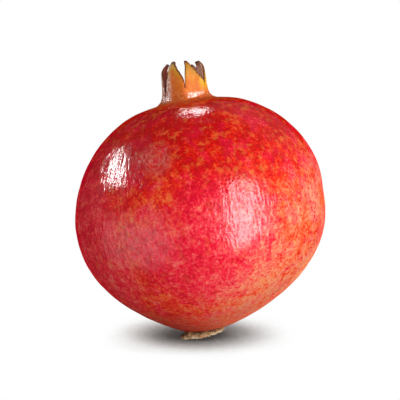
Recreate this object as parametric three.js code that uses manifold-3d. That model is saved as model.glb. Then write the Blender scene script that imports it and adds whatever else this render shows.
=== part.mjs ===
// A ripe pomegranate. It stands on the dried stub of its stem, with its crown on top.
// Millimetres, +Z up, front towards -Y. The origin is on the surface that it stands on, below the
// middle of its bounding box. The skin, the flesh and the crown grew as one piece; the stem stub, the
// ring of dried stamens and the style inside the crown are pieces of their own.
import * as THREE from "three";
import { mergeVertices } from "three/addons/utils/BufferGeometryUtils.js";
import Module from "manifold-3d";

const wasm = await Module();
wasm.setup();

// Driving dimensions of the fruit, along and square to its own axis. Heights are from the waist.
const bodyRadius = 48;
const stemDepth = 48.7; // waist down to the stem end
const domeHeight = 43.2; // waist up to where the rounded top would close
const taper = { rise: 2.37, swell: 0.8 }; // lower half: radius = (1 - rise^a)^b of the waist's
const shoulder = { sag: 1.3, reach: 18.7 }; // flattening of the dome round the crown
const leanLeft = THREE.MathUtils.degToRad(9.65);
const leanBack = THREE.MathUtils.degToRad(4);
const hook = { aside: 5.8, power: 5.6 }; // the stem end bends back to the left, below the middle
const core = { drift: 1.1, bow: 0.6 }; // above the waist: to the right at the crown, and in between
const stemEnd = { flattening: 2.2, reach: 6 }; // the pointed end is blunted round the stem
const stubThickness = 2.9; // floor to the lowest point of the fruit

// The crown: a short tube that flares out of the shoulder and ends in six pointed lobes.
const crown = {
  footRadius: 11.8,
  tubeRadius: 8.9,
  flareHeight: 1.58, // over this height the flare loses all but a third of its width
  narrowing: 0.05, // radius lost for each millimetre of height
  aside: { shift: 0.85, reach: 3 }, // to the right of the fruit's core, over this height
  upright: Math.tan(THREE.MathUtils.degToRad(5.5)), // it stands straighter than the fruit leans
  splitsFrom: 2, // height above the foot at which the wall starts to follow the lobes
  wall: { rim: 0.9, root: 1.6, fade: 4 },
  floor: 0.6, // bottom of the cup, above the crown's foot
};
// Azimuths are in degrees from the front, turning to the right; heights are above the crown's foot.
const notches = [
  { at: -1, height: 5 },
  { at: 63, height: 5 },
  { at: 120, height: 10 },
  { at: 180, height: 5.3 },
  { at: 243, height: 10.5 },
  { at: 294, height: 3 },
];
// Each lobe leans out by its spread on the way up, and its tip curls in.
const lobes = [
  { tip: 8, height: 14.8, curl: 0.5, spread: 0 },
  { tip: 98, height: 14.2, curl: 2.3, spread: -0.1 },
  { tip: 143, height: 13.4, curl: 0.7, spread: 0 },
  { tip: 225, height: 13.4, curl: 0.8, spread: 0 },
  { tip: 264, height: 15.5, curl: 1.6, spread: 0.8 },
  { tip: 322, height: 15.8, curl: 0.4, spread: 0.1 },
];
const lobeSwell = 0.68; // below 1 the lobes' edges bow outwards
const tallestLobe = Math.max(...lobes.map((lobe) => lobe.height));

const clearance = 0.3; // between pieces that touch
const columns = 72;
const fullTurn = Math.PI * 2;

// Six gentle ribs, and a broad hollow at the upper left.
const ribs = { count: 6, depth: 0.4, phase: 0.5 };
const hollow = { azimuth: -0.62, height: 20, depth: 0.7, width: 0.34, length: 15 };

const material = (color, roughness) => new THREE.MeshStandardMaterial({ color, roughness, metalness: 0 });
const rind = material(0xc8283c, 0.35);
const bark = material(0xa98763, 0.85);
const driedFilament = material(0x8a5a34, 0.8);

const crownFoot = domeAt(crown.footRadius);

// Height of the rounded top at a radius, with the shoulder sagging a little round the crown.
function domeAt(radius) {
  const round = domeHeight * Math.sqrt(1 - (radius / bodyRadius) ** 2);
  return round - shoulder.sag * Math.exp(-((radius / shoulder.reach) ** 4));
}

// Outer radius of the crown at a height above its foot.
function crownRadius(height) {
  const flare = crown.footRadius - crown.tubeRadius;
  return crown.tubeRadius - crown.narrowing * height + flare * Math.exp(-height / crown.flareHeight);
}

const wallAt = (height) => crown.wall.rim + crown.wall.root * Math.exp(-height / crown.wall.fade);

// The lobe at an azimuth, with the height of its edge there.
function lobeAt(azimuth) {
  const first = notches[0].at;
  const turn = first + THREE.MathUtils.euclideanModulo(THREE.MathUtils.radToDeg(azimuth) - first, 360);
  const index = notches.findLastIndex((notch) => notch.at <= turn);
  const left = notches[index];
  const right = notches[index + 1] ?? { at: first + 360, height: notches[0].height };
  const lobe = lobes[index];
  const near = turn < lobe.tip ? left : right;
  const share = (turn - near.at) / (lobe.tip - near.at);
  return { ...lobe, edge: near.height + (lobe.height - near.height) * share ** lobeSwell };
}

// The fruit's outline from the stem end to the middle of the cup. A station above the crown's split
// holds its share of the way to the lobes' edge; inward says how much of the wall lies outside it.
function fruitStations() {
  const stations = [];
  const add = (radius, height, more = {}) => stations.push({ radius, height, share: null, inward: 0, ...more });
  const lowerRows = 10;
  for (let row = 0; row <= lowerRows; row++) {
    const rise = Math.cos((Math.PI / 2) * (row / lowerRows));
    const radius = bodyRadius * (1 - rise ** taper.rise) ** taper.swell;
    const blunted = stemEnd.flattening * Math.exp(-((radius / stemEnd.reach) ** 2));
    add(radius, blunted - stemDepth * rise);
  }
  const upperRows = 11;
  const footAngle = Math.asin(crown.footRadius / bodyRadius);
  for (let row = 1; row <= upperRows; row++) {
    const angle = Math.PI / 2 + (footAngle - Math.PI / 2) * (row / upperRows);
    const radius = bodyRadius * Math.sin(angle);
    add(radius, domeAt(radius));
  }
  add(crownRadius(crown.splitsFrom / 2), crownFoot + crown.splitsFrom / 2);
  const lobeRows = 6;
  for (let row = 0; row <= lobeRows; row++) addCrown(row / lobeRows, 0);
  addCrown(1.03, 0.5);
  for (let row = lobeRows; row >= 0; row--) addCrown(row / lobeRows, 1);
  const cupRadius = crownRadius(crown.splitsFrom) - wallAt(crown.splitsFrom);
  add(0.85 * cupRadius, crownFoot + 1.4 * crown.floor);
  add(0.5 * cupRadius, crownFoot + crown.floor);
  add(0, crownFoot + crown.floor);
  return stations;

  function addCrown(share, inward) {
    const height = crown.splitsFrom + share * (tallestLobe - crown.splitsFrom);
    add(crownRadius(height) - inward * wallAt(height), crownFoot + height, { share, inward });
  }
}

// Radius and height of one station at one azimuth, once lobes, ribs and the hollow have shaped it.
function shaped(station, azimuth) {
  if (station.share === null) {
    const along = station.height / stemDepth;
    const belly = Math.max(0, 1 - along ** 2);
    const rib = ribs.depth * belly * Math.cos(ribs.count * azimuth + ribs.phase);
    const aside = Math.atan2(Math.sin(azimuth - hollow.azimuth), Math.cos(azimuth - hollow.azimuth));
    const away = (aside / hollow.width) ** 2 + ((station.height - hollow.height) / hollow.length) ** 2;
    return { radius: station.radius + (station.radius ? rib - hollow.depth * Math.exp(-away) : 0), height: station.height };
  }
  const lobe = lobeAt(azimuth);
  const height = crown.splitsFrom + station.share * (lobe.edge - crown.splitsFrom);
  const rise = height / tallestLobe;
  const radius = crownRadius(height) - station.inward * wallAt(height) + lobe.spread * rise - lobe.curl * rise ** 6;
  return { radius, height: crownFoot + height };
}

// The core line's offset from the straight axis: the stem end hooks back below the fruit's middle,
// and the crown stands a little to the right and straighter.
function coreOffset(height) {
  if (height < 0) {
    const bend = (-height / stemDepth) ** hook.power;
    return new THREE.Vector2(-hook.aside * bend, stemDepth * Math.tan(leanBack) * bend);
  }
  const rise = Math.min(1, height / crownFoot);
  const bow = core.bow * 4 * rise * (1 - rise);
  const aboveFoot = height - crownFoot;
  const aside = crown.aside.shift * Math.min(1, Math.exp(aboveFoot / crown.aside.reach));
  return new THREE.Vector2(core.drift * rise + bow + aside + crown.upright * Math.max(0, aboveFoot), 0);
}

const lean = new THREE.Matrix4().makeRotationFromEuler(new THREE.Euler(-leanBack, -leanLeft, 0));

// A point of the fruit in its leaning frame, from radius, azimuth and height.
function leaningPoint(radius, azimuth, height) {
  const offset = coreOffset(height);
  const point = new THREE.Vector3(
    radius * Math.sin(azimuth) + offset.x,
    -radius * Math.cos(azimuth) + offset.y,
    height,
  );
  return point.applyMatrix4(lean);
}

function fruitGeometry() {
  const stations = fruitStations();
  const outline = stations.map((station) => new THREE.Vector2(station.radius, station.height));
  const geometry = new THREE.LatheGeometry(outline, columns);
  const { position, uv } = geometry.attributes;
  for (let i = 0; i < position.count; i++) {
    const azimuth = fullTurn * uv.getX(i);
    const station = stations[Math.round(uv.getY(i) * (stations.length - 1))];
    const { radius, height } = shaped(station, azimuth);
    position.setXYZ(i, ...leaningPoint(radius, azimuth, height).toArray());
  }
  geometry.computeBoundingBox();
  return geometry;
}

// A lathe turned about +Z, inside the crown and in line with it.
function inCrown(outline, segments) {
  const geometry = new THREE.LatheGeometry(outline, segments);
  const { position, uv } = geometry.attributes;
  for (let i = 0; i < position.count; i++) {
    const point = outline[Math.round(uv.getY(i) * (outline.length - 1))];
    position.setXYZ(i, ...leaningPoint(point.x, fullTurn * uv.getX(i), crownFoot + point.y).toArray());
  }
  return geometry;
}

// The dried stamens: a low ring that stands on the floor of the cup.
function stamenRing() {
  const ring = { inside: 1.3, outside: 5.2, height: 4.2 };
  const base = crown.floor + clearance + 0.5;
  const middle = (ring.inside + ring.outside) / 2;
  const outline = [
    new THREE.Vector2(ring.inside, base),
    new THREE.Vector2(middle, base),
    new THREE.Vector2(ring.outside, base + 0.4),
    new THREE.Vector2(ring.outside, base + 0.6 * ring.height),
    new THREE.Vector2(middle, base + ring.height),
    new THREE.Vector2(ring.inside, base + 0.8 * ring.height),
    new THREE.Vector2(ring.inside, base),
  ];
  return inCrown(outline, 20);
}

// The style: a thin dried stalk in the middle of the stamens, with the stigma as its knob.
function styleStalk() {
  const style = { radius: 0.45, knob: 0.85, height: 6.5 };
  const base = crown.floor + clearance;
  const outline = [
    new THREE.Vector2(0, base),
    new THREE.Vector2(style.radius, base),
    new THREE.Vector2(style.radius, base + 0.8 * style.height),
    new THREE.Vector2(style.knob, base + 0.9 * style.height),
    new THREE.Vector2(0.7 * style.knob, base + style.height),
    new THREE.Vector2(0, base + style.height),
  ];
  return inCrown(outline, 12);
}

// The stem stub: a low oval puck with a torn outline, which stands on its flat underside. Its rim
// rises off the surface, more and more towards the right. Its top is hollowed to the fruit's curve.
function stubGeometry(fruitSolid) {
  const stub = { length: 8.6, width: 6.8, middle: 1.2, turn: 0.2, height: 5 };
  const overhang = 0.15; // height of the rim gained for each millimetre to the right
  const outline = [
    new THREE.Vector2(0, 0),
    new THREE.Vector2(0.76, 0),
    new THREE.Vector2(1, 0),
    new THREE.Vector2(0.97, 0.45),
    new THREE.Vector2(0.84, 1),
    new THREE.Vector2(0, 1),
  ];
  const rimRow = 2;
  const geometry = new THREE.LatheGeometry(outline, 28);
  const { position, uv } = geometry.attributes;
  for (let i = 0; i < position.count; i++) {
    const turn = fullTurn * uv.getX(i);
    const row = Math.round(uv.getY(i) * (outline.length - 1));
    const { x: share, y: rise } = outline[row];
    const torn = 1 + 0.05 * Math.sin(3 * turn + 1) + 0.04 * Math.sin(5 * turn + 2);
    const along = share * torn * stub.length * Math.sin(turn);
    const across = -share * torn * stub.width * Math.cos(turn);
    const x = along * Math.cos(stub.turn) - across * Math.sin(stub.turn);
    const y = along * Math.sin(stub.turn) + across * Math.cos(stub.turn);
    const lifted = row === rimRow ? overhang * Math.max(0, x + stub.length) : 0;
    position.setXYZ(i, x + stub.middle, y, rise * stub.height + lifted);
  }
  return geometryOf(solidOf(geometry).subtract(fruitSolid));
}

function solidOf(geometry) {
  const bare = new THREE.BufferGeometry().setIndex(geometry.index);
  bare.setAttribute("position", geometry.attributes.position);
  const merged = mergeVertices(bare, 1e-3);
  const vertProperties = merged.attributes.position.array;
  return new wasm.Manifold(new wasm.Mesh({ numProp: 3, vertProperties, triVerts: merged.index.array }));
}

function geometryOf(solid) {
  const mesh = solid.getMesh();
  const geometry = new THREE.BufferGeometry();
  geometry.setAttribute("position", new THREE.BufferAttribute(mesh.vertProperties, 3));
  return geometry.setIndex(new THREE.BufferAttribute(mesh.triVerts, 1));
}

function named(name, geometry, finish) {
  const mesh = new THREE.Mesh(geometry, finish);
  mesh.name = name;
  return mesh;
}

const pomegranate = new THREE.Group();

const fruitShape = fruitGeometry();
const seat = stubThickness - fruitShape.boundingBox.min.z;
const raised = new THREE.Group();
raised.position.z = seat;
raised.add(named("fruit", fruitShape, rind));
raised.add(named("stamens", stamenRing(), driedFilament));
raised.add(named("style", styleStalk(), driedFilament));
pomegranate.add(raised);

const cutter = solidOf(fruitShape.clone().translate(0, 0, seat - clearance));
pomegranate.add(named("stem", stubGeometry(cutter), bark));

// Centres the bounding box over the origin.
const middle = new THREE.Box3().setFromObject(pomegranate, true).getCenter(new THREE.Vector3());
for (const part of pomegranate.children) part.position.sub(new THREE.Vector3(middle.x, middle.y, 0));

export default pomegranate;
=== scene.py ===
import math
from types import SimpleNamespace

import bmesh
import bpy
import numpy as np
from mathutils import Matrix, Vector, kdtree, noise
from mathutils.bvhtree import BVHTree


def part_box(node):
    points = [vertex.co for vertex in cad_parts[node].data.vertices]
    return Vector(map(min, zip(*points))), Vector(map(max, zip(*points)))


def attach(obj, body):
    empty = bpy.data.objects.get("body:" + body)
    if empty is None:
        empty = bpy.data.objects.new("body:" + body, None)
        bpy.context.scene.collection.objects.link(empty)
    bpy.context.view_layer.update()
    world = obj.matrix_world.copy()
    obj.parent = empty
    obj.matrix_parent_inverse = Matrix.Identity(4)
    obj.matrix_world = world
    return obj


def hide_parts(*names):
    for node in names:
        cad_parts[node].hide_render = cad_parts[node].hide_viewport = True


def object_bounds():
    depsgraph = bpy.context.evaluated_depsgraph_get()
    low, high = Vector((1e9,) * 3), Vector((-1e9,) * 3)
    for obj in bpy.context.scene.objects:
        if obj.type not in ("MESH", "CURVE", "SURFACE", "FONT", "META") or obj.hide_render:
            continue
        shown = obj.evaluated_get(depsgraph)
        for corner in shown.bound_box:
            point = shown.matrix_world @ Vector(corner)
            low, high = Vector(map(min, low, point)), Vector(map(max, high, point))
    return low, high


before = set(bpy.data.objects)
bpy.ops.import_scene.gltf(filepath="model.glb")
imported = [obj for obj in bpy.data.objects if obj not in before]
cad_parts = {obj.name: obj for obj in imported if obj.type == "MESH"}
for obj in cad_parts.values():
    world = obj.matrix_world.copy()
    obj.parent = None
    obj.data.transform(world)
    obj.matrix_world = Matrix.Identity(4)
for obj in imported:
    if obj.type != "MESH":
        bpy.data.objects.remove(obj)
cadLow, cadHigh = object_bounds()


def hexColour(text):  # "#rrggbb" as it looks on screen, to the linear values that shaders use
    parts = [int(text[i:i + 2], 16) / 255 for i in (1, 3, 5)]
    return [((c + 0.055) / 1.055) ** 2.4 if c > 0.04045 else c / 12.92 for c in parts] + [1]


# Node helpers. From maths on, they find their tree from a socket that they are given.

def addNode(tree, kind, values=None, **settings):
    made = tree.nodes.new(kind)
    for name, value in settings.items():
        setattr(made, name, value)
    for key, value in (values or {}).items():
        if isinstance(value, bpy.types.NodeSocket):
            tree.links.new(value, made.inputs[key])
        else:
            made.inputs[key].default_value = value
    return made


def output(tree, kind, values=None, **settings):
    return addNode(tree, kind, values, **settings).outputs[0]


def treeOf(*values):
    return next(value.id_data for value in values if isinstance(value, bpy.types.NodeSocket))


def maths(operation, first, second=0.0):
    return output(treeOf(first, second), "ShaderNodeMath", {0: first, 1: second}, operation=operation)


def times(*values):
    total = values[0]
    for value in values[1:]:
        total = maths("MULTIPLY", total, value)
    return total


def plus(*values):
    total = values[0]
    for value in values[1:]:
        total = maths("ADD", total, value)
    return total


def sway(value, amount):  # a noise turned into a swing about nought
    return times(maths("SUBTRACT", value, 0.5), amount)


def remap(value, fromLow, fromHigh, toLow=0.0, toHigh=1.0):  # a smooth step
    values = {"Value": value, "From Min": fromLow, "From Max": fromHigh, "To Min": toLow, "To Max": toHigh}
    return output(treeOf(value), "ShaderNodeMapRange", values, interpolation_type="SMOOTHSTEP")


def vectorMaths(operation, first, second=(0, 0, 0)):
    made = addNode(treeOf(first), "ShaderNodeVectorMath", {0: first, 1: second}, operation=operation)
    return made.outputs["Value" if operation in ("DOT_PRODUCT", "DISTANCE", "LENGTH") else "Vector"]


def scaled(vector, factor):
    return output(treeOf(vector), "ShaderNodeVectorMath", {0: vector, "Scale": factor}, operation="SCALE")


def combined(x=0.0, y=0.0, z=0.0):
    return output(treeOf(x, y, z), "ShaderNodeCombineXYZ", {0: x, 1: y, 2: z})


def mottle(place, size, detail=2.0, roughness=0.5, distortion=0.0):
    values = {"Vector": place, "Scale": 1 / size, "Detail": detail, "Roughness": roughness,
              "Distortion": distortion}
    return output(treeOf(place), "ShaderNodeTexNoise", values)


def blend(share, under, over):
    under, over = (hexColour(colour) if isinstance(colour, str) else colour for colour in (under, over))
    return addNode(treeOf(share), "ShaderNodeMix", {0: share, 6: under, 7: over}, data_type="RGBA").outputs[2]


def ramp(value, stops):
    made = addNode(treeOf(value), "ShaderNodeValToRGB", {"Fac": value})
    band = made.color_ramp
    while len(band.elements) < len(stops):
        band.elements.new(0.5)
    for element, (position, colour) in zip(band.elements, stops):
        element.position = position
        element.color = hexColour(colour)
    return made.outputs["Color"]


def bumped(height, depth, under=None):
    values = {"Height": height, "Distance": depth}
    if under:
        values["Normal"] = under
    return output(treeOf(height), "ShaderNodeBump", values)


def attribute(tree, name):
    return addNode(tree, "ShaderNodeAttribute", attribute_name=name).outputs["Fac"]


def newMaterial(name, settings):
    material = bpy.data.materials.new(name)
    material.use_nodes = True
    tree = material.node_tree
    shader = tree.nodes["Principled BSDF"]
    for label, value in settings.items():
        shader.inputs[label].default_value = value
    return material, tree, shader


def wire(shader, results):
    for label, value in results.items():
        shader.id_data.links.new(value, shader.inputs[label])


def objectPlace(tree):
    return addNode(tree, "ShaderNodeTexCoord").outputs["Object"]


def addPiece(name, data):
    piece = bpy.data.objects.new(name, data)
    bpy.context.scene.collection.objects.link(piece)
    return piece


def latheMesh(name, points, attributes=None):
    # points: rows x columns x 3, rows from one end to the other, columns round the axis
    rows, columns, _ = points.shape
    index = np.arange(rows * columns).reshape(rows, columns)
    after = np.roll(index, -1, axis=1)
    quads = np.stack([index[:-1], after[:-1], after[1:], index[1:]], axis=-1).reshape(-1, 4)
    mesh = bpy.data.meshes.new(name)
    mesh.from_pydata(points.reshape(-1, 3).tolist(), [], quads.tolist())
    for label, values in (attributes or {}).items():
        layer = mesh.attributes.new(label, "FLOAT", "POINT")
        layer.data.foreach_set("value", values.astype(np.float32).ravel())
    work = bmesh.new()
    work.from_mesh(mesh)
    bmesh.ops.remove_doubles(work, verts=work.verts, dist=1e-7)  # closes the poles
    bmesh.ops.recalc_face_normals(work, faces=work.faces)
    work.to_mesh(mesh)
    work.free()
    mesh.shade_smooth()
    return addPiece(name, mesh)


# Geometry Nodes: a tree with named inputs, and a way to run it and keep the result as a plain mesh.

def newTree(name, inputs):
    tree = bpy.data.node_groups.new(name, "GeometryNodeTree")
    tree.interface.new_socket("Geometry", in_out="INPUT", socket_type="NodeSocketGeometry")
    tree.interface.new_socket("Geometry", in_out="OUTPUT", socket_type="NodeSocketGeometry")
    for label, value in inputs.items():
        kinds = {bpy.types.Material: "Material", int: "Int", float: "Float"}
        kind = "NodeSocket" + kinds.get(type(value), "Vector")
        tree.interface.new_socket(label, in_out="INPUT", socket_type=kind)
    return tree, addNode(tree, "NodeGroupInput").outputs


def endTree(tree, geometry, material):
    realized = output(tree, "GeometryNodeRealizeInstances", {"Geometry": geometry})
    finished = output(tree, "GeometryNodeSetMaterial", {"Geometry": realized, "Material": material})
    addNode(tree, "NodeGroupOutput", {"Geometry": finished})


def runTree(piece, buildTree, inputs):
    tree = buildTree(inputs)
    modifier = piece.modifiers.new(tree.name, "NODES")
    modifier.node_group = tree
    for socket in tree.interface.items_tree:
        if socket.name in inputs:
            modifier[socket.identifier] = inputs[socket.name]
    evaluated = piece.evaluated_get(bpy.context.evaluated_depsgraph_get())
    mesh = bpy.data.meshes.new_from_object(evaluated)
    piece.modifiers.remove(modifier)
    piece.data = mesh


# The fruit: rind, flesh and crown in one skin. Heights are along its own leaning axis, from the waist.

body = dict(
    radius=0.048,
    stemDepth=0.0487,
    domeHeight=0.0432,
    taperRise=2.37,
    taperSwell=0.8,
    shoulderSag=0.0013,
    shoulderReach=0.0187,
    leanLeft=9.65,
    leanBack=4.0,
    hookAside=0.0058,
    hookPower=5.6,
    drift=0.0011,
    bow=0.0006,
    endFlattening=0.0022,
    endReach=0.006,
    ribs=6,
    ribDepth=0.0004,
    ribPhase=0.5,  # radians
    reliefFade=0.004,  # ribs and dents die away over this length at both ends
    columns=360,
    lowerRows=84,
    upperRows=84,
)
# Broad hollows and swellings of the skin: azimuth, height, width round, length along, depth.
skinDents = [
    (-16.5, 0.0222, 0.0046, 0.005, 0.0007),
    (-50, 0.014, 0.01, 0.015, -0.0002),
    (28, -0.01, 0.012, 0.018, -0.0003),
    (150, 0.006, 0.014, 0.016, 0.0007),
    (215, -0.012, 0.012, 0.015, -0.0006),
]
crown = dict(
    footRadius=0.0118,
    tubeRadius=0.0089,
    flareHeight=0.00158,
    frontFlare=0.85,  # at the front the foot's curve is sharper by this share
    frontTurn=12,
    narrowing=0.05,
    aside=0.00085,
    asideReach=0.003,
    upright=5.5,
    splitsFrom=0.002,
    rimWall=0.0009,
    rootWall=0.0016,
    wallFade=0.004,
    floor=0.0006,
    slitTurn=0.8,
    facetEdge=4,
    facetFrom=0.0005,
    facetFade=0.0015,
    roundFrom=0.8,
    bendFrom=0.8,
    curlPower=6,
    crease=0.00035,
    creaseWidth=0.0007,
    creaseFrom=0.001,
    creaseFade=0.003,
    rimRounding=0.35,
    tearDepth=0.0004,
    tearCount=30,
    tearSeed=5.0,
    tearFrom=0.005,
    tearFade=0.004,
    edgeFrom=0.02,
    edgeReach=0.01,
    crowdFrom=0.8,  # share of the height from which the columns crowd towards the notches
    crowding=1.5,
    leastColumns=12,
    flareRows=10,
    lobeRows=46,
    rimRows=5,
    insideRows=28,
    floorRows=6,
)
# Each lobe has its notch on the left: azimuth, height, and how far up the split stays closed. Then its tip,
# how its left and right edges swell and how blunt they end, how flat the lobe is across and how far that
# flat face is turned, and how its tip bends: in (curl, hook), in or out over its whole height (spread) and
# round (twist).
lobeValues = ("notch", "low", "slit", "tip", "high", "swell", "blunt", "flat", "face", "curl", "spread",
              "hook", "twist")
lobeRows = [
    (-1, 0.005, 0.0022, 7, 0.0147, (0.6, 1), (0.25, 0.12), 0.95, -7, 0.0005, 0, 0.0006, -4),
    (63, 0.005, 0.0008, 106, 0.0142, (0.7, 0.6), (0.45, 0.6), 0.2, 0, 0.0006, -0.0003, 0.0011, 3),
    (139, 0.0112, 0, 150, 0.0136, (0.9, 0.8), (0.1, 0.1), 0.2, 0, 0.0007, 0, 0.0004, 4),
    (180, 0.0053, 0.001, 208, 0.0112, (0.9, 0.8), (0.1, 0.1), 0.3, 0, 0.0008, 0, 0.0006, -3),
    (226, 0.0092, 0, 258, 0.0148, (0.8, 0.5), (0.4, 0.5), 0, 0, 0.0006, 0.001, 0.0016, 0),
    (295, 0.003, 0.0005, 318, 0.0152, (0.8, 0.78), (0.15, 0.16), 0.4, 0, 0.0004, 0.0001, 0.0008, 1),
]
crownLobes = [dict(zip(lobeValues, row)) for row in lobeRows]
tallestLobe = max(lobe["high"] for lobe in crownLobes)


def rising(value, start, length):  # 0 up to the start, 1 from a length past it
    return np.clip((value - start) / length, 0, 1)


def onCircle(turn, height=0):  # the point at this turn of a circle of radius 1
    return Vector((math.cos(turn), math.sin(turn), height))


def awayFrom(azimuth, other):  # degrees from one azimuth to another, the short way round
    return np.mod(azimuth - other + 180, 360) - 180


def domeAt(radius):
    round_ = body["domeHeight"] * np.sqrt(1 - (radius / body["radius"]) ** 2)
    return round_ - body["shoulderSag"] * np.exp(-((radius / body["shoulderReach"]) ** 4))


def crownRadiusAt(height):
    flare = crown["footRadius"] - crown["tubeRadius"]
    straight = crown["tubeRadius"] - crown["narrowing"] * height
    return straight + flare * np.exp(-height / crown["flareHeight"])


def wallAt(height):
    return crown["rimWall"] + crown["rootWall"] * np.exp(-height / crown["wallFade"])


crownFoot = float(domeAt(crown["footRadius"]))


def lobeFields(azimuth):
    # At each azimuth in degrees: height of the lobe's edge, how far in a flat lobe lies as a share of the
    # radius, and the lobe's own height, curl, spread, hook and twist.
    first = crownLobes[0]["notch"]
    turned = first + np.mod(azimuth - first, 360)
    starts = np.array([lobe["notch"] for lobe in crownLobes])
    which = np.searchsorted(starts, turned, side="right") - 1
    following = (which + 1) % len(crownLobes)
    of = {key: np.array([lobe[key] for lobe in crownLobes]) for key in lobeValues}
    ends = np.append(starts[1:], first + 360)[which]
    onLeft = turned < of["tip"][which]
    side = np.where(onLeft, 0, 1)
    notch = np.where(onLeft, which, following)
    near = np.where(onLeft, starts[which], ends)
    blunt = of["blunt"][which, side]
    share = np.clip((turned - near) / (of["tip"][which] - near) / (1 - blunt), 0, 1)
    rounded = 1 - 2.5 * (1 - share) ** 2 - 0.5 * (1 - share)
    share = np.where(share > crown["roundFrom"], rounded, share)
    slit = of["slit"][notch]
    opened = slit * (1 - np.exp(-np.abs(turned - near) / crown["slitTurn"]))
    low = of["low"][notch]
    edge = low + opened + (of["high"][which] - low - slit) * share ** of["swell"][which, side]
    half = np.radians(ends - starts[which]) / 2
    offset = np.radians(turned - starts[which] - of["face"][which]) - half
    flatness = of["flat"][which] * np.maximum(0, 1 - np.cos(half) / np.cos(offset))
    flatness = flatness * rising(turned, starts[which], crown["facetEdge"])
    bends = [of[key][which] for key in ("high", "curl", "spread", "hook")]
    return edge, flatness, *bends, np.radians(of["twist"][which])


def creases(azimuth, height):
    # Grooves that run down from the notches, between the lobes.
    deep = np.zeros(np.broadcast(azimuth, height).shape)
    for lobe in crownLobes:
        aside = np.radians(awayFrom(azimuth, lobe["notch"])) * crown["tubeRadius"]
        deep = deep + np.exp(-((aside / crown["creaseWidth"]) ** 2))
    return crown["crease"] * deep * rising(height, -crown["creaseFrom"], crown["creaseFade"])


def crownAzimuths():
    # As many azimuths as the fruit has columns, crowding towards the notches.
    turns = []
    wanted, least, power = body["columns"], crown["leastColumns"], crown["crowding"]
    spare = wanted - 2 * least * len(crownLobes)
    for lobe, following in zip(crownLobes, crownLobes[1:] + crownLobes[:1]):
        end = following["notch"] + (360 if following["notch"] <= lobe["notch"] else 0)
        for start, stop, upwards in ((lobe["notch"], lobe["tip"], True), (lobe["tip"], end, False)):
            count = least + round((stop - start) * spare / 360)
            steps = np.arange(count) / count
            eased = steps ** power if upwards else 1 - (1 - steps) ** power
            turns.extend(start + (stop - start) * eased)
    turns.append(turns[0] + 360)
    return np.interp(np.arange(wanted) / wanted, np.arange(len(turns)) / (len(turns) - 1), turns)


def fruitRows():
    # radius, height, share of the way to the lobes' edge (-1 below and under them), and share of the wall
    # crossed inwards
    rows = []
    lower, upper = body["lowerRows"], body["upperRows"]
    for row in range(lower + 1):
        rise = math.cos(math.pi / 2 * row / lower)
        radius = body["radius"] * (1 - rise ** body["taperRise"]) ** body["taperSwell"]
        blunted = body["endFlattening"] * math.exp(-((radius / body["endReach"]) ** 2))
        rows.append((radius, blunted - body["stemDepth"] * rise, -1, 0))
    footAngle = math.asin(crown["footRadius"] / body["radius"])
    for row in range(1, upper + 1):
        angle = math.pi / 2 + (footAngle - math.pi / 2) * row / upper
        radius = body["radius"] * math.sin(angle)
        rows.append((radius, float(domeAt(radius)), -1, 0))
    splits, flareRows = crown["splitsFrom"], crown["flareRows"]
    for row in range(1, flareRows):
        height = splits * row / flareRows
        rows.append((crownRadiusAt(height), crownFoot + height, -1, 0))
    for row in range(crown["lobeRows"] + 1):
        rows.append((0, 0, row / crown["lobeRows"], 0))
    for row in range(1, crown["rimRows"] + 1):
        rows.append((0, 0, 1, row / (crown["rimRows"] + 1)))
    for row in range(crown["insideRows"], -1, -1):
        rows.append((0, 0, row / crown["insideRows"], 1))
    cupRadius = crownRadiusAt(splits) - wallAt(splits)
    for row in range(1, crown["floorRows"] + 1):
        across = 1 - row / crown["floorRows"]
        height = crown["floor"] + (splits - crown["floor"]) * across ** 4
        rows.append((cupRadius * across, crownFoot + height, -1, 1))
    return np.array(rows)


def coreOffset(height):
    # Place of the fruit's core at each height, to the right and to the back.
    shape = body
    bend = np.clip(-height / shape["stemDepth"], 0, 1) ** shape["hookPower"]
    rise = np.clip(height / crownFoot, 0, 1)
    above = height - crownFoot
    aside = crown["aside"] * np.minimum(1, np.exp(above / crown["asideReach"]))
    aside = np.where(height < 0, 0, aside)
    upright = math.tan(math.radians(crown["upright"])) * np.maximum(0, above)
    right = shape["drift"] * rise + shape["bow"] * 4 * rise * (1 - rise) + aside + upright
    back = shape["stemDepth"] * math.tan(math.radians(shape["leanBack"])) * bend
    return right - shape["hookAside"] * bend, back


leanMatrix = (Matrix.Rotation(math.radians(-body["leanBack"]), 3, "X")
              @ Matrix.Rotation(math.radians(-body["leanLeft"]), 3, "Y"))


def leaning(radius, azimuth, height):
    right, back = coreOffset(height)
    upright = np.stack([radius * np.sin(azimuth) + right, back - radius * np.cos(azimuth), height], axis=-1)
    return upright @ np.array(leanMatrix).T


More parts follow.
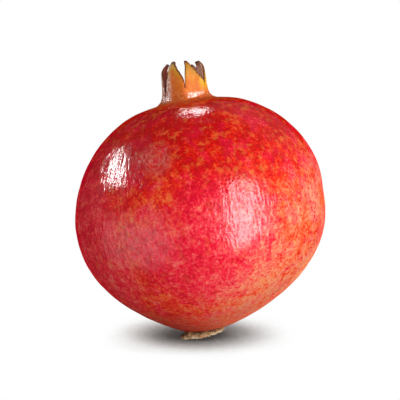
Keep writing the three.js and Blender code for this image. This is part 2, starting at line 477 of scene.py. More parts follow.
def fruitPoints():
    rows = fruitRows()
    radius, height, share, inward = (rows[:, i, None] for i in range(4))
    columns = body["columns"]
    even = np.arange(columns) * 360 / columns + crownLobes[0]["notch"]
    onCrown = share >= 0
    crowdFrom = crown["crowdFrom"] * crownFoot
    crowded = rising(height, crowdFrom, crownFoot - crowdFrom) ** 2
    crowded = np.where(onCrown | (inward > 0), 1, crowded)
    degrees = even + crowded * (crownAzimuths() - even)
    azimuth = np.radians(degrees)

    # ribs and dents of the body
    belly = np.clip(1 - (height / body["stemDepth"]) ** 2, 0, 1)
    relief = body["ribDepth"] * belly * np.cos(body["ribs"] * azimuth + body["ribPhase"])
    for at, level, width, length, depth in skinDents:
        aside = np.radians(awayFrom(degrees, at)) * radius
        relief = relief - depth * np.exp(-((aside / width) ** 2) - ((height - level) / length) ** 2)
    relief = np.where(onCrown | (inward > 0), 0, relief) * rising(radius, 0, body["reliefFade"])
    relief = relief * rising(-height, -crownFoot, body["reliefFade"])

    # lobes of the crown, with a finely torn edge
    edge, flatness, own, curl, spread, hook, twist = lobeFields(degrees)
    level = crown["tearSeed"] / crown["tearCount"]
    tears = [noise.noise(onCircle(turn, level) * crown["tearCount"]) for turn in np.radians(degrees[-1])]
    tears = crown["tearDepth"] * np.array(tears)
    edge = edge + tears * rising(edge, crown["tearFrom"], crown["tearFade"])
    splits = crown["splitsFrom"]
    lobeHeight = splits + share * (edge - splits)
    rise = lobeHeight / tallestLobe
    wall = wallAt(lobeHeight)
    atTip = rising(lobeHeight / own, crown["bendFrom"], 1 - crown["bendFrom"]) ** 2
    lobeRadius = crownRadiusAt(lobeHeight) - inward * wall + spread * rise
    lobeRadius = lobeRadius - curl * rise ** crown["curlPower"] - hook * atTip
    rounded = np.where(share == 1, crown["rimRounding"] * wall * np.sin(np.pi * inward), 0)
    radius = np.where(onCrown, lobeRadius, radius + relief)
    height = np.where(onCrown, crownFoot + lobeHeight + rounded, height + 0 * azimuth)
    creased = (inward < 0.5) & (height > crownFoot - crown["creaseFrom"])
    radius = radius - np.where(creased, creases(degrees, height - crownFoot), 0)

    # the curve at the crown's foot is sharper at the front, and flat lobes are flat from just above it
    above = np.maximum(0, height - crownFoot)
    front = np.clip(np.cos(azimuth - math.radians(crown["frontTurn"])), 0, 1)
    sharper = crown["flareHeight"] * (1 - crown["frontFlare"] * front)
    drawnIn = np.exp(-above / sharper) - np.exp(-above / crown["flareHeight"])
    drawnIn = drawnIn * (crown["footRadius"] - crown["tubeRadius"])
    radius = radius + np.where((inward == 0) & (height > crownFoot), drawnIn, 0)
    flatness = flatness * rising(height, crownFoot - crown["facetFrom"], crown["facetFade"])
    radius = radius * (1 - flatness)
    azimuth = azimuth + np.where(onCrown, twist * atTip, 0)
    points = leaning(radius, azimuth, height)
    inside = inward + 0 * azimuth
    onRim = np.broadcast_to(onCrown & (share == 1) & (inward < 0.6), degrees.shape)
    return points, (height - crownFoot) / tallestLobe, inside, np.where(onCrown, lobeHeight / own, 0), onRim


def edgeDistances(points, rise, onRim):  # how far each point of the crown is from the lobes' torn edge
    rim = kdtree.KDTree(int(onRim.sum()))
    for i, place in enumerate(points[onRim]):
        rim.insert(place, i)
    rim.balance()
    away = np.full(rise.shape, crown["edgeReach"])
    for row, column in np.argwhere(rise > crown["edgeFrom"]):
        away[row, column] = min(crown["edgeReach"], rim.find(points[row, column])[2])
    return away


def makeFruit():
    points, rise, inside, toTip, onRim = fruitPoints()
    low, high = (np.array(corner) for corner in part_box("fruit"))
    mine = points.reshape(-1, 3)
    shift = (low + high - mine.min(axis=0) - mine.max(axis=0)) / 2
    shift[2] = low[2] - mine[:, 2].min()
    points = points + shift
    edgeAway = edgeDistances(points, rise, onRim)
    fields = {"crownRise": rise, "inside": inside, "toTip": toTip, "edgeAway": edgeAway}
    piece = latheMesh("pomegranate_fruit", points, fields)
    return piece, Vector(shift)


fruit, waist = makeFruit()
print("fruit: points placed,", len(fruit.data.vertices), "vertices")


reliefSizes = {
    "Swell Size": 0.013,
    "Swell Depth": 0.00045,
    "Pebble Size": 0.0032,
    "Pebble Depth": 0.0002,
    "Fade From": -0.12,  # shares of the crown's height
    "Fade To": 0.05,
    "Crown Share": 0.22,
}


def reliefTree(inputs):
    # Moves the skin along its normal by two noises, less on the crown than on the body.
    tree, given = newTree("skinRelief", inputs)
    place = output(tree, "GeometryNodeInputPosition")
    rise = output(tree, "GeometryNodeInputNamedAttribute", {"Name": "crownRise"}, data_type="FLOAT")
    onBody = remap(rise, given["Fade From"], given["Fade To"], 1.0, given["Crown Share"])
    moves = []
    for kind in ("Swell", "Pebble"):
        scale = maths("DIVIDE", 1.0, given[kind + " Size"])
        wave = output(tree, "ShaderNodeTexNoise", {"Vector": place, "Scale": scale, "Detail": 1.0})
        moves.append(sway(wave, given[kind + " Depth"]))
    normal = output(tree, "GeometryNodeInputNormal")
    offset = scaled(normal, times(plus(*moves), onBody))
    moved = output(tree, "GeometryNodeSetPosition", {"Geometry": given["Geometry"], "Offset": offset})
    endTree(tree, moved, given["Material"])
    return tree


rindLook = dict(
    shader={"IOR": 1.5},
    # from bare skin to the deepest pigment: scarlet towards the crown, crimson towards the stem
    scarlet=[(0, "#ffaa78"), (0.15, "#ff966e"), (0.3, "#ff7c58"), (0.42, "#ff6436"), (0.55, "#fe4a22"),
             (0.7, "#f42a10"), (0.85, "#ea1208"), (1, "#d00402")],
    crimson=[(0, "#ffaa7e"), (0.15, "#ff9672"), (0.3, "#ff7e68"), (0.42, "#ff6660"), (0.55, "#ff4a54"),
             (0.7, "#fd2a42"), (0.85, "#f40e34"), (1, "#de022a")],
    pigment=0.84,
    pigmentStir={"clouds": 0.5, "blotches": 0.8, "spots": 0.6, "grain": 1.1, "streaks": 0.45},
    crimsonDirection=(0.04, -0.95, -0.3),
    bareDirection=(0.77, -0.1, -0.63),
    bareShare=0.45,
    # slant of the painted shade along the bottom of the left side
    lowLeftShadeSlant=0.5,
    # centre of a patch of painted shade: darker crimson where the skin would lie in shade
    paintedShadePatch=(-0.02, -0.038, 0.024),
    crown=[(0, "#d4603a"), (0.12, "#de6c2a"), (0.3, "#e67e1e"), (0.62, "#f29624"), (0.85, "#eca624"),
           (1, "#c8ac28")],
    crownStir={"blotches": 0.25, "grain": 0.3},
    # coats of colour laid over these, each where its soft edges let it through
    bodyCoats=[("#ff9040", "ambers", "amberOnCrimson"), ("#cc6a56", "stemEnd"), ("#8c3020", "lowLeftShade"),
               ("#b8081c", "paintedShadePatch"), ("#f08a74", "scratches", "scratchHeight")],
    crownCoats=[("#be4e1c", "crownShade"), ("#da6a26", "crownFlush"), ("#ffb266", "crownScuff"),
                ("#f4bc30", "yellowAside", "yellowRise"),
                # whitish on the crown's left flank: partly a pale waxy bloom, partly a painted highlight
                ("#fae4dc", "leftAside", "leftRise", "leftFront", "leftPatches")],
    tipCoats=[("#ceaa2c", "limyEdge", "limyTip", "outside", "limyAside"),
              ("#a8641e", "tannedTip", "tannedAside", "outside"), ("#6c281a", "driedEdge"),
              ("#784432", "driedTip")],
    # inside faces of the lobes: one tone, with painted shade on the left and painted light on the right
    insideShadedLeft="#a8503c",
    insideLitRight="#ffc0a4",
    dimple=(-0.012, -0.0397, 0.0222),
    dimpleStir={"blotches": 0.008, "knobs": 0.0016},
    # pale rings in the dimple: partly a scuffed scar, partly a painted sheen
    dimpleScuffAndSheen="#ee8c78",
    dimpleRough=0.16,
    ringSize=0.0016,
    ringDepth=0.00002,
    leftGloss=0.9,
    wrinkleDepth=0.00025,
    fineWrinkleDepth=0.00016,
    wrinkleFade=2.6,  # how fast the wrinkles die away from the waist
    pebbleDepth=0.00013,
    crownDepth=0.00012,
    crownLeftDepth=0.0005,
    # how much the height counts where a pattern is drawn out along the fruit
    alongShare=0.35,
    scratchShare=0.25,
    insideShare=0.2,
)
# Noises of the rind: the space they are laid in, then size, detail, roughness and distortion.
rindNoises = dict(
    clouds=("own", 0.019, 1),
    blotches=("own", 0.0048, 2, 0.6),
    streaks=("along", 0.0019, 2, 0.6),
    spots=("own", 0.0026, 2, 0.6),
    grain=("own", 0.001, 2, 0.7),
    flecks=("own", 0.0012, 2, 0.6),
    freckles=("own", 0.002, 2, 0.6),
    backClouds=("own", 0.035),
    flushes=("own", 0.007, 2, 0.6),
    ambers=("own", 0.0028, 3, 0.65),
    scratches=("scratched", 0.0022, 2, 0.6, 1.2),
    knobs=("own", 0.001, 2, 0.6),
    insideStreaks=("drawnUp", 0.0008),
    wrinkles=("along", 0.0021, 1),
    fineWrinkles=("along", 0.0009, 1),
    pebbles=("own", 0.0009, 1),
)
# Soft edges of the rind: the field that is read, where the edge starts and ends, what comes out there (0
# and 1 unless given), and by how much noises stir the field first.
rindEdges = dict(
    # the body, by place, height or noise
    bare=("bareSide", 0.013, 0.038, {"clouds": 0.02}),
    stemPale=("high", -0.036, -0.014, -0.12, 0),
    shoulder=("high", 0.006, 0.03, 0, 0.17),
    flecks=("flecks", 0.48, 0.66, 0, -0.26),
    freckles=("freckles", 0.54, 0.7, 0, 0.28),
    front=("frontSide", 0.037, 0.046, {"clouds": 0.012, "blotches": 0.006}),
    left=("across", -0.036, -0.022, 0.8, 0, {"clouds": 0.03}),
    back=("deep", 0, 0.02),
    backClouds=("backClouds", 0.48, 0.6),
    flushes=("flushesRight", 0.5, 0.62, 0, 0.8, {"grain": 0.25}),
    flushRight=("across", 0.03, 0.046, 0, 0.06),
    ambers=("ambers", 0.52, 0.68, 0, 0.42, {"streaks": 0.2}),
    amberOnCrimson=("crimson", 0, 1, 1, 0.35),
    stemEnd=("high", -0.05, -0.029, 0.6, 0, {"blotches": 0.018, "grain": 0.016}),
    # painted shade: darker red-brown low on the left side, towards the stem
    lowLeftShade=("slanted", -0.055, -0.04, 0.65, 0, {"blotches": 0.01}),
    # painted shade: a darker crimson patch on the upper left of the body
    paintedShadePatch=("fromPatch", 0.004, 0.016, 0.5, 0, {"blotches": 0.008}),
    scratches=("scratches", 0.62, 0.72, 0, 0.3, {"blotches": 0.5}),
    scratchHeight=("high", 0.028, 0.038, {"clouds": 0.02}),
    # the crown, by its rise, the way across it, the way to a tip and the distance to its torn edge
    crown=("wavyRise", -0.13, 0.06),
    crownShade=("aside", -0.003, 0.001, 0.5, 0, {"blotches": 0.005}),
    crownFlush=("blotches", 0.42, 0.62, 0, 0.6, {"grain": 0.3}),
    crownScuff=("grain", 0.5, 0.72, 0, 0.35, {"blotches": -0.5}),
    yellowAside=("aside", 0.005, 0.0064, 0, 0.8, {"blotches": 0.002}),
    yellowRise=("crownRise", 0.15, 0.4),
    # the whitish coat on the crown's left flank, partly a painted highlight
    leftAside=("aside", -0.0062, -0.0048, 1, 0, {"grain": 0.003}),
    leftRise=("crownRise", 0, 0.2),
    leftFront=("deep", -0.001, 0.001, 1, 0),
    leftPatches=("knobs", 0.42, 0.56, 0.15, 0.85),
    # painted light and shade inside the crown: from the shaded left tone to the lit right tone
    insideLitShare=("aside", -0.004, 0.003, {"insideStreaks": 0.012}),
    outside=("inside", 0, 0.3, 1, 0),
    limyEdge=("edgeAway", 0.0004, 0.002, 0.7, 0, {"grain": 0.0008}),
    limyTip=("toTip", 0.45, 0.8),
    limyAside=("aside", -0.0075, -0.006),
    tannedTip=("toTip", 0.35, 0.95, 0, 0.6),
    tannedAside=("aside", -0.003, 0),
    driedEdge=("edgeAway", 0.00012, 0.00054, 0.9, 0, {"grain": 0.0008}),
    driedTip=("toTip", 0.92, 0.99, 0, 0.85, {"grain": 0.1}),
    # the dimple, by distance and ring
    dimple=("fromDimple", 0.0028, 0.0085, 1, 0),
    # pale rings in the dimple, partly scuffing, partly painted sheen
    ringScuffAndSheen=("rings", 0, 1.2, 0, 0.5, {"grain": 3}),
    # roughness and gloss
    crownRough=("crownRise", 0.15, 0.23, {"blotches": 0.1}),
    leftRough=("leftFlank", 0, 1, 0.32, 0.12),
    skinRough=("streaks", 0.3, 0.7, 0.14, 0.2),
    shoulderRough=("high", 0.028, 0.035, 1, 0.75),
    facingGloss=("facing", 0.42, 0.8, 0.75, 0),
    creaseGloss=("grooves", 0.36, 0.56, 0.35, 1),
    crownGloss=("crownRise", 0.15, 0.23, 1.5, 0.4),
    waxyLeft=("aside", -0.0022, -0.0016),
    waxyRight=("aside", 0.004, 0.0055, 1, 0),
    waxyFoot=("crownRise", 0.01, 0.04),
    waxyTop=("crownRise", 0.18, 0.24, 1, 0),
    waxyGloss=("grain", 0.4, 0.6, 0.5, 1.2),
    # depth of the wrinkles, pebbles and knobs
    wrinkleAcross=("across", -0.026, -0.004, 0.85, 0.5),
    pebbleAcross=("across", -0.026, -0.004, 0.28, 0.8),
    pebbleHeight=("high", 0.028, 0.035, 1, 0.55),
    crownKnobs=("crownRise", 0.2, 0.4),
)


def stirred(skin, value, amounts):  # the value, swung about by noises
    return plus(value, *[sway(getattr(skin, name), amount) for name, amount in amounts.items()])


def edges(skin, *names):  # the product of soft edges
    found = []
    for name in names:
        field, *numbers = rindEdges[name]
        stir = numbers.pop() if isinstance(numbers[-1], dict) else {}
        found.append(remap(stirred(skin, getattr(skin, field), stir), *numbers))
    return times(*found)


def coated(skin, base, coats):  # each coat is a colour and the names of its soft edges
    for colour, *names in coats:
        base = blend(edges(skin, *names), base, colour)
    return base


def skinSpaces(tree):
    # own: the fruit's leaning frame. along and scratched: laid round the girth and drawn out from crown to
    # stem. drawnUp: drawn out inside the crown.
    look = rindLook
    skin = SimpleNamespace()
    leaned = {"Vector": objectPlace(tree), "Location": waist, "Rotation": leanMatrix.to_euler("XYZ")}
    skin.own = output(tree, "ShaderNodeMapping", leaned, vector_type="TEXTURE")
    skin.across, skin.deep, skin.high = addNode(tree, "ShaderNodeSeparateXYZ", {0: skin.own}).outputs
    outward = combined(skin.across, skin.deep)
    girth = scaled(vectorMaths("NORMALIZE", outward), body["radius"])
    skin.along = vectorMaths("ADD", girth, combined(z=times(skin.high, look["alongShare"])))
    skin.scratched = vectorMaths("ADD", girth, combined(z=times(skin.high, look["scratchShare"])))
    upwards = {"Vector": skin.own, "Scale": (1, 1, look["insideShare"])}
    skin.drawnUp = output(tree, "ShaderNodeMapping", upwards)
    waistShare = times(vectorMaths("LENGTH", outward), 1 / body["radius"])
    skin.girthShare = maths("POWER", waistShare, look["wrinkleFade"])
    return skin


def skinFields(tree):
    look = rindLook
    skin = skinSpaces(tree)
    for name, (space, *settings) in rindNoises.items():
        setattr(skin, name, mottle(getattr(skin, space), *settings))
    for name in ("crownRise", "inside", "toTip", "edgeAway"):
        setattr(skin, name, attribute(tree, name))
    skin.bareSide = vectorMaths("DOT_PRODUCT", skin.own, look["bareDirection"])
    skin.frontSide = vectorMaths("DOT_PRODUCT", skin.own, look["crimsonDirection"])
    skin.slanted = plus(skin.high, times(skin.across, look["lowLeftShadeSlant"]))
    skin.fromPatch = vectorMaths("DISTANCE", skin.own, look["paintedShadePatch"])
    skin.wavyRise = stirred(skin, skin.crownRise, look["crownStir"])

    # aside: the way across the crown from its middle. leftFlank: the crown's outside left of that.
    upright = tallestLobe * math.tan(math.radians(crown["upright"]))
    middle = crown["aside"] + body["drift"]
    skin.aside = plus(skin.across, times(skin.crownRise, -upright), -middle)
    skin.leftFlank = edges(skin, "leftAside", "leftRise", "leftFront")

    # the dimple and the wobbly rings round it
    skin.fromDimple = stirred(skin, vectorMaths("DISTANCE", skin.own, look["dimple"]), look["dimpleStir"])
    skin.inDimple = edges(skin, "dimple")
    skin.rings = maths("SINE", times(skin.fromDimple, 2 * math.pi / look["ringSize"]))
    return skin


def bodyColour(skin):
    look = rindLook
    bare = edges(skin, "bare")
    pigment = stirred(skin, times(bare, -look["bareShare"]), look["pigmentStir"])
    pigment = plus(pigment, edges(skin, "stemPale"), edges(skin, "shoulder"), edges(skin, "flecks"),
                   times(edges(skin, "freckles"), bare), look["pigment"])

    # crimson in front, at the left, in flushes, and in clouds at the back
    skin.flushesRight = plus(skin.flushes, edges(skin, "flushRight"))
    skin.crimson = edges(skin, "front")
    for names in (["left"], ["backClouds", "back"], ["flushes"]):
        skin.crimson = maths("MAXIMUM", skin.crimson, edges(skin, *names))
    base = blend(skin.crimson, ramp(pigment, look["scarlet"]), ramp(pigment, look["crimson"]))
    return coated(skin, base, look["bodyCoats"])


def crownColour(skin, base):
    # Paler upwards, whitish at the left (partly a pale bloom, partly a painted highlight), limy and tanned
    # towards the tips, dried dark along its torn edge, and dull inside.
    look = rindLook
    tone = coated(skin, ramp(skin.wavyRise, look["crown"]), look["crownCoats"])
    base = blend(edges(skin, "crown"), base, tone)
    # inside the lobes: painted shade on the left, painted light on the right
    inside = blend(edges(skin, "insideLitShare"), look["insideShadedLeft"], look["insideLitRight"])
    return coated(skin, blend(skin.inside, base, inside), look["tipCoats"])


def rindRoughness(skin):
    dimple = times(skin.inDimple, rindLook["dimpleRough"])
    return plus(edges(skin, "skinRough", "shoulderRough"), edges(skin, "crownRough", "leftRough"), dimple)


def rindGloss(tree, skin):
    # Less in the creases and at grazing angles, and on the crown less upwards, with a waxy patch at its foot.
    skin.facing = addNode(tree, "ShaderNodeLayerWeight", {"Blend": 0.5}).outputs["Facing"]
    creased = times(skin.girthShare, maths("SUBTRACT", skin.fineWrinkles, skin.pebbles), 0.5)
    skin.grooves = plus(skin.pebbles, creased)
    waxy = edges(skin, "waxyLeft", "waxyRight", "waxyFoot", "waxyTop", "waxyGloss")
    leftGloss = times(skin.leftFlank, rindLook["leftGloss"])
    return times(edges(skin, "facingGloss", "creaseGloss"), plus(edges(skin, "crownGloss"), waxy, leftGloss))


def rindDepth(skin):
    look = rindLook
    wrinkles = times(skin.wrinkles, look["wrinkleDepth"])
    wrinkles = plus(wrinkles, times(skin.fineWrinkles, look["fineWrinkleDepth"]))
    wrinkles = times(wrinkles, edges(skin, "wrinkleAcross"), skin.girthShare)
    pebbles = times(edges(skin, "pebbleAcross", "pebbleHeight"), look["pebbleDepth"], skin.pebbles)
    crownDepth = times(edges(skin, "crownKnobs"), look["crownDepth"])
    crownDepth = plus(crownDepth, times(skin.leftFlank, look["crownLeftDepth"]))
    rings = times(skin.rings, skin.inDimple, look["ringDepth"])
    return plus(wrinkles, pebbles, times(skin.knobs, crownDepth), rings)


def makeRindMaterial():
    material, tree, shader = newMaterial("rind", rindLook["shader"])
    skin = skinFields(tree)
    # pale rings in the dimple: partly scuffs, partly a painted sheen
    scuffsAndSheen = times(skin.inDimple, edges(skin, "ringScuffAndSheen"))
    wire(shader, {
        "Base Color": blend(scuffsAndSheen, crownColour(skin, bodyColour(skin)), rindLook["dimpleScuffAndSheen"]),
        "Roughness": rindRoughness(skin),
        "Specular IOR Level": rindGloss(tree, skin),
        "Normal": bumped(rindDepth(skin), 1.0),
    })
    return material


rind = makeRindMaterial()
runTree(fruit, reliefTree, {**reliefSizes, "Material": rind})
print("fruit: skin relief applied,", len(fruit.data.polygons), "faces")


# The stem stub: an oval, torn plug of bark and pale fibre.

stubShape = dict(
    length=0.0084,
    width=0.0066,
    turn=0.15,  # radians
    bumps=[(3, 0.04, 1), (5, 0.03, 2)],  # of its outline: how many, how deep, from which radian
    tilt=0.2,  # its torn lower face rises to the right, and a little to its left tip
    tiltFrom=0.0016,
    tipLift=0.2,
    endHeight=0.0001,
    taper=0.95,
    thinnest=0.0003,
    gap=0.0002,
    topShare=0.9,
    bulge=0.03,
    sideAt=0.97,
    sideReach=0.15,
    # tears of its side: how many, how deep, how much they change upwards, and where the noise starts
    tears=[(5, 0.0005, 1.5, 0), (24, 0.00025, 3.5, 7)],
    ragged=[(7, 0.0005), (19, 0.00025)],
    raggedRise=0.0002,
    columns=300,
    sideRows=30,
    lowerShares=(0.0, 0.3, 0.6, 0.8, 0.9, 0.96),
    upperShares=(0.8, 0.6, 0.3, 0.0),
)


def stubOutline(turn):
    torn = 1 + sum(depth * math.sin(count * turn + start) for count, depth, start in stubShape["bumps"])
    along = torn * stubShape["length"] * math.sin(turn)
    across = -torn * stubShape["width"] * math.cos(turn)
    x = along * math.cos(stubShape["turn"]) - across * math.sin(stubShape["turn"])
    y = along * math.sin(stubShape["turn"]) + across * math.cos(stubShape["turn"])
    return x, y


def stubRows():
    # Each row as its share of the outline and its level: 0 on the torn lower face, 1 below the skin.
    rows = [(share, 0.0) for share in stubShape["lowerShares"]]
    for row in range(stubShape["sideRows"] + 1):
        level = row / stubShape["sideRows"]
        bulge = stubShape["bulge"] * math.sin(math.pi * level)
        rows.append((1 + bulge - (1 - stubShape["topShare"]) * level ** 2, level))
    return rows + [(share, 1.0) for share in stubShape["upperShares"]]


def makeStub():
    shape = stubShape
    low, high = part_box("stem")
    centre = (low + high) / 2
    turns = [2 * math.pi * i / shape["columns"] for i in range(shape["columns"])]
    rims = [stubOutline(turn) for turn in turns]
    leftmost = min(x for x, y in rims)
    middleX = (leftmost + max(x for x, y in rims)) / 2
    middleY = (min(y for x, y in rims) + max(y for x, y in rims)) / 2
    skin = BVHTree.FromObject(fruit, bpy.context.evaluated_depsgraph_get())

    def roofAt(x, y):  # the height just below the fruit's skin
        hit = skin.ray_cast(Vector((x, y, low.z - 0.01)), Vector((0, 0, 1)))[0]
        return (hit.z if hit else high.z) - shape["gap"]

    def pointAt(turn, x, y, share, level):
        px, py = (x - middleX) * share, (y - middleY) * share
        around = onCircle(turn)
        torn = 0
        for count, depth, change, start in shape["tears"]:
            torn += noise.noise(around * count + Vector((0, 0, change * level + start))) * depth
        side = max(0, 1 - abs(share - shape["sideAt"]) / shape["sideReach"])
        push = 1 + side * torn / shape["width"]
        fromLeft = px + middleX - leftmost
        tilted = fromLeft - shape["tiltFrom"]
        ragged = sum(depth * noise.noise(around * count) for count, depth in shape["ragged"])
        bottom = shape["tilt"] * max(0, tilted) + shape["tipLift"] * max(0, -tilted)
        bottom += side * (ragged + shape["raggedRise"])
        highest = bottom + shape["endHeight"] + shape["taper"] * max(0, fromLeft)
        top = max(min(roofAt(centre.x + px, centre.y + py), highest), bottom + shape["thinnest"])
        z = bottom + (top - bottom) * level
        return centre.x + px * push, centre.y + py * push, max(z, low.z)

    rows = stubRows()
    points = [[pointAt(turn, x, y, *row) for turn, (x, y) in zip(turns, rims)] for row in rows]
    levels = np.repeat([level for share, level in rows], shape["columns"])
    return latheMesh("pomegranate_stem", np.array(points), {"level": levels})


stub = makeStub()

barkLook = dict(
    shader={"Roughness": 0.8, "Specular IOR Level": 0.3},
    fibre=[(0, "#f2deba"), (0.14, "#dabd94"), (0.4, "#c29c70"), (0.75, "#97734e"), (1, "#5a4030")],
    crack="#33221a",
    orange="#d8925c",
    orangeEdge=(0.55, 0.65, 0.0, 0.45),
    crackEdge=(0.36, 0.46, 0.85, 0.0),
    patchSway=2.2,
    strandTurn=(0, 0.5, 0),  # radians
    strandScale=(0.4, 0.7, 1.2),
    strandSize=0.0006,
    strandDepth=0.0005,
    patchSize=0.0018,
    patchDepth=0.0006,
    orangeSize=0.00234,
)


def makeBarkMaterial():
    look = barkLook
    material, tree, shader = newMaterial("bark", look["shader"])
    place = objectPlace(tree)
    slanted = {"Vector": place, "Rotation": look["strandTurn"], "Scale": look["strandScale"]}
    strands = mottle(output(tree, "ShaderNodeMapping", slanted), look["strandSize"], 3.0, 0.6)
    patches = mottle(place, look["patchSize"], 3.0, 0.65)
    base = ramp(plus(attribute(tree, "level"), sway(patches, look["patchSway"])), look["fibre"])
    orange = remap(mottle(place, look["orangeSize"], 1.0), *look["orangeEdge"])
    base = blend(orange, base, look["orange"])
    base = blend(remap(strands, *look["crackEdge"]), base, look["crack"])
    normal = bumped(patches, look["patchDepth"], under=bumped(strands, look["strandDepth"]))
    wire(shader, {"Base Color": base, "Normal": normal})
    return material


bark = makeBarkMaterial()
stub.data.materials.append(bark)
print("stem stub: done")


# Stamens and style: what dries and stays in the crown's cup.

driedLook = dict(
    shader={"Roughness": 0.75, "Specular IOR Level": 0.3},
    tones=[(0.35, "#4a2c16"), (0.65, "#b98a4c")],
    patchSize=0.0012,
    grainSize=0.0004,
    grainDepth=0.0001,
)


def makeDriedMaterial():
    look = driedLook
    material, tree, shader = newMaterial("driedFilament", look["shader"])
    place = objectPlace(tree)
    base = ramp(mottle(place, look["patchSize"], 3.0, 0.6), look["tones"])
    normal = bumped(mottle(place, look["grainSize"]), look["grainDepth"])
    wire(shader, {"Base Color": base, "Normal": normal})
    return material


dried = makeDriedMaterial()

stamenSizes = {
    "Count": 110,
    "Inner Radius": 0.0016,
    "Outer Radius": 0.0048,
    "Length": 0.0038,
    "Thickness": 0.00011,
    "Anther": 0.00038,
    "Tip Aside": 0.35,  # as a share of the length, and so is the height at which a stalk starts to bend
    "Bend Height": 0.7,
}
# Chance in the stamens: least, most and seed. Turns are radians.
stamenDraws = dict(
    turn=(0.0, 2 * math.pi, 4),
    lean=(-0.25, 0.35, 5),
    twist=(-0.9, 0.9, 6),
    scale=(0.7, 1.1, 7),
)
awaySeed = 3
antherScale = (1, 0.7, 1.3)


def draw(tree, low, high, seed):
    values = {2: low, 3: high, "Seed": seed}
    return addNode(tree, "FunctionNodeRandomValue", values, data_type="FLOAT").outputs[1]


def filamentIn(tree, given):  # a thin curved stalk with its anther at the tip
    length = given["Length"]
    top = combined(x=times(length, given["Tip Aside"]), z=length)
    knee = combined(z=times(length, given["Bend Height"]))
    values = {"Resolution": 6, "Start": (0, 0, 0), "Middle": knee, "End": top}
    stalk = output(tree, "GeometryNodeCurveQuadraticBezier", values)
    values = {"Resolution": 5, "Radius": given["Thickness"]}
    section = output(tree, "GeometryNodeCurvePrimitiveCircle", values)
    thread = output(tree, "GeometryNodeCurveToMesh", {"Curve": stalk, "Profile Curve": section})
    ball = output(tree, "GeometryNodeMeshIcoSphere", {"Radius": given["Anther"], "Subdivisions": 2})
    values = {"Geometry": ball, "Translation": top, "Scale": antherScale}
    anther = output(tree, "GeometryNodeTransform", values)
    filament = addNode(tree, "GeometryNodeJoinGeometry")
    for part in (thread, anther):
        tree.links.new(part, filament.inputs[0])
    return filament.outputs[0]


def stamenTree(inputs):
    # Filaments scattered over the floor of the cup, leaning out and turned at random.
    tree, given = newTree("stamens", inputs)
    away = draw(tree, given["Inner Radius"], given["Outer Radius"], awaySeed)
    turn, lean, twist, scale = (draw(tree, *chance) for chance in stamenDraws.values())
    spot = combined(times(away, maths("COSINE", turn)), times(away, maths("SINE", turn)))
    points = output(tree, "GeometryNodePoints", {"Count": given["Count"], "Position": spot})
    turned = combined(y=lean, z=plus(turn, twist))
    values = {"Points": points, "Instance": filamentIn(tree, given), "Rotation": turned, "Scale": scale}
    scattered = output(tree, "GeometryNodeInstanceOnPoints", values)
    values = {"Geometry": scattered, "Translation": given["Place"], "Rotation": given["Tilt"]}
    endTree(tree, output(tree, "GeometryNodeTransform", values), given["Material"])
    return tree


def coreAt(height):
    return Vector(leaning(0, 0, height)) + waist


cupFloor = coreAt(crownFoot + crown["floor"])
cupTilt = (coreAt(crownFoot + 0.01) - cupFloor).to_track_quat("Z", "Y").to_euler()

stamens = addPiece("pomegranate_stamens", bpy.data.meshes.new("pomegranate_stamens"))
runTree(stamens, stamenTree, {**stamenSizes, "Place": cupFloor, "Tilt": cupTilt, "Material": dried})
stamens.data.shade_smooth()

styleShape = dict(
    radius=0.00042,
    narrowing=0.25,
    knob=0.0008,
    knobAt=0.92,
    knobReach=0.07,
    endPower=24,
    footSlope=40,
    height=0.0064,
    bend=0.0003,
    roughness=0.12,
    rows=26,
    columns=20,
)


def makeStyle():
    shape = styleShape
    rings = []
    for row in range(shape["rows"] + 1):
        rise = row / shape["rows"]
        swollen = math.exp(-((rise - shape["knobAt"]) / shape["knobReach"]) ** 2)
        radius = shape["radius"] * (1 - shape["narrowing"] * rise)
        radius += (shape["knob"] - shape["radius"]) * swollen
        radius *= math.sqrt(max(0, 1 - rise ** shape["endPower"])) * min(1, rise * shape["footSlope"])
        ring = []
        for i in range(shape["columns"]):
            turn = 2 * math.pi * i / shape["columns"]
            rough = 1 + shape["roughness"] * noise.noise((2 * math.cos(turn), 2 * math.sin(turn), 9 * rise))
            ring.append((radius * rough * math.cos(turn) + shape["bend"] * math.sin(3 * rise),
                         radius * rough * math.sin(turn), shape["height"] * rise))
        rings.append(ring)
    turned = np.array(cupTilt.to_matrix())
    points = np.array(rings) @ turned.T + np.array(cupFloor)
    return latheMesh("pomegranate_style", points)


style = makeStyle()
style.data.materials.append(dried)
print("stamens and style: done")


# Each piece with its CAD node and its material slot name: the CAD node is hidden and the piece rides on the
# root.
for piece, node, slotName in ((fruit, "fruit", "rind"), (stub, "stem", "bark"),
                              (stamens, "stamens", "dried_filament"), (style, "style", "dried_filament")):
    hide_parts(node)
    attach(piece, "root")


# Floor, lamps, world and camera.

stageLook = dict(
    floorSize=6.0,
    floor="#dcdad8",
    shadowReach=0.25,
    shadowLean=(0.0, -0.25, 0.97),
    shadowSamples=16,
    openSky=(0.22, 0.51),  # share of the sky seen from the floor where its shadow is darkest, and gone
    shadow=0.06,
    shadowTint="#ffeee8",
    fill=0.25,
    fillInGloss=0.05,
)
floorShader = {"Roughness": 0.9, "Specular IOR Level": 0.1}
cameraLook = dict(
    distance=0.46,
    elevation=7.5,
    lens=108.5,
    clip=(0.01, 100),
    aside=-0.0002,
    level=0.504,
)
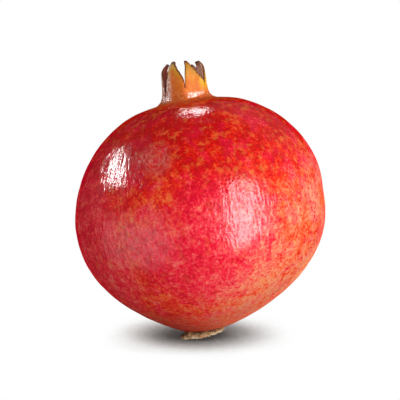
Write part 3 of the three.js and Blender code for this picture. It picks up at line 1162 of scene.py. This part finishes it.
# Lamp panels: seen by matt surfaces or in gloss, how bright, direction from the fruit, distance, width and
# height, and roll.
lampPanels = dict(
    windowRight=("gloss", 3.9, (0.65, -0.76, 0.05), 0.95, (0.42, 1.05), 0),
    windowGlow=("gloss", 0.42, (0.68, -0.73, 0.04), 0.93, (0.74, 1.4), 0),
    stripLeft=("gloss", 26.0, (-0.82, 0.18, 0.465), 0.95, (0.068, 0.58), 70),
    overhead=("gloss", 6.0, (-0.08, 0.58, 0.81), 0.95, (0.17, 0.26), 0),
    lowLeft=("gloss", 0.38, (-0.73, -0.46, -0.34), 0.95, (0.7, 0.6), 0),
    lowLeftGlow=("gloss", 0.36, (-0.73, -0.44, -0.32), 0.98, (1.3, 1.1), 0),
    skyRight=("gloss", 0.1, (0.66, 0.61, 0.44), 1.0, (1.7, 1.5), 0),
    key=("matt", 5.5, (0.54, -0.84, -0.02), 1.0, (0.95, 0.8), 0),
    side=("matt", 2.2, (0.97, -0.22, -0.05), 1.05, (0.6, 0.8), 0),
    rim=("matt", 1.35, (-0.96, 0.18, 0.26), 1.0, (0.6, 0.6), 0),
    rimHigh=("matt", 0.95, (-0.78, 0.2, 0.6), 1.0, (0.5, 0.5), 0),
    ceiling=("matt", 0.6, (0.6, -0.3, 0.74), 1.0, (1.0, 1.0), 0),
)


def makeFloor():
    size = stageLook["floorSize"]
    mesh = bpy.data.meshes.new("floor")
    corners = [(-size, -size, 0), (size, -size, 0), (size, size, 0), (-size, size, 0)]
    mesh.from_pydata(corners, [], [(0, 1, 2, 3)])
    floor = addPiece("floor", mesh)
    material, tree, shader = newMaterial("floor", floorShader)
    shader.inputs["Base Color"].default_value = hexColour(stageLook["floor"])
    # as the backdrop: white, with the soft shadow under the fruit
    lean = output(tree, "ShaderNodeCombineXYZ", dict(enumerate(stageLook["shadowLean"])))
    reach = {"Distance": stageLook["shadowReach"], "Normal": lean}
    sky = addNode(tree, "ShaderNodeAmbientOcclusion", reach, samples=stageLook["shadowSamples"]).outputs["AO"]
    openness = remap(sky, *stageLook["openSky"], stageLook["shadow"], 1.0)
    tint = blend(openness, stageLook["shadowTint"], "#ffffff")
    seen = addNode(tree, "ShaderNodeEmission", {"Color": tint, "Strength": openness})
    camera = addNode(tree, "ShaderNodeLightPath").outputs["Is Camera Ray"]
    both = addNode(tree, "ShaderNodeMixShader", {0: camera, 1: shader.outputs[0], 2: seen.outputs[0]})
    tree.links.new(both.outputs[0], tree.nodes["Material Output"].inputs["Surface"])
    mesh.materials.append(material)
    floor.visible_glossy = False


def makeWorld():
    world = bpy.data.worlds.new("studio")
    bpy.context.scene.world = world
    world.use_nodes = True
    tree = world.node_tree
    background = tree.nodes["Background"]
    background.inputs["Color"].default_value = (1, 1, 1, 1)
    path = addNode(tree, "ShaderNodeLightPath").outputs
    strength = remap(path["Is Glossy Ray"], 0.0, 1.0, stageLook["fill"], stageLook["fillInGloss"])
    strength = maths("MAXIMUM", strength, path["Is Camera Ray"])
    tree.links.new(strength, background.inputs["Strength"])


def makeLamps(target):
    for name, (kind, brightness, direction, distance, size, roll) in lampPanels.items():
        towards = Vector(direction).normalized()
        data = bpy.data.lights.new(name, "AREA")
        data.shape = "ELLIPSE"
        data.size, data.size_y = size
        data.energy = math.pi * data.size * data.size_y * brightness
        lamp = addPiece(name, data)
        lamp.location = target + towards * distance
        rolled = Matrix.Rotation(math.radians(roll), 3, "Z")
        lamp.rotation_euler = (towards.to_track_quat("Z", "Y").to_matrix() @ rolled).to_euler()
        lamp.visible_camera = False
        lamp.visible_diffuse = kind == "matt"
        lamp.visible_glossy = kind == "gloss"


def makeCamera(target):
    data = bpy.data.cameras.new("camera")
    data.lens = cameraLook["lens"]
    data.clip_start, data.clip_end = cameraLook["clip"]
    camera = addPiece("camera", data)
    elevation = math.radians(cameraLook["elevation"])
    back = Vector((0, -math.cos(elevation), math.sin(elevation)))
    camera.location = target + back * cameraLook["distance"]
    camera.rotation_euler = back.to_track_quat("Z", "Y").to_euler()
    bpy.context.scene.camera = camera


aim = (cadLow + cadHigh) / 2
aim.x += cameraLook["aside"]
aim.z = cadLow.z + cameraLook["level"] * (cadHigh.z - cadLow.z)
makeFloor()
makeWorld()
makeLamps(aim)
makeCamera(aim)
bpy.context.scene.view_settings.view_transform = "Standard"
print("stage: done")
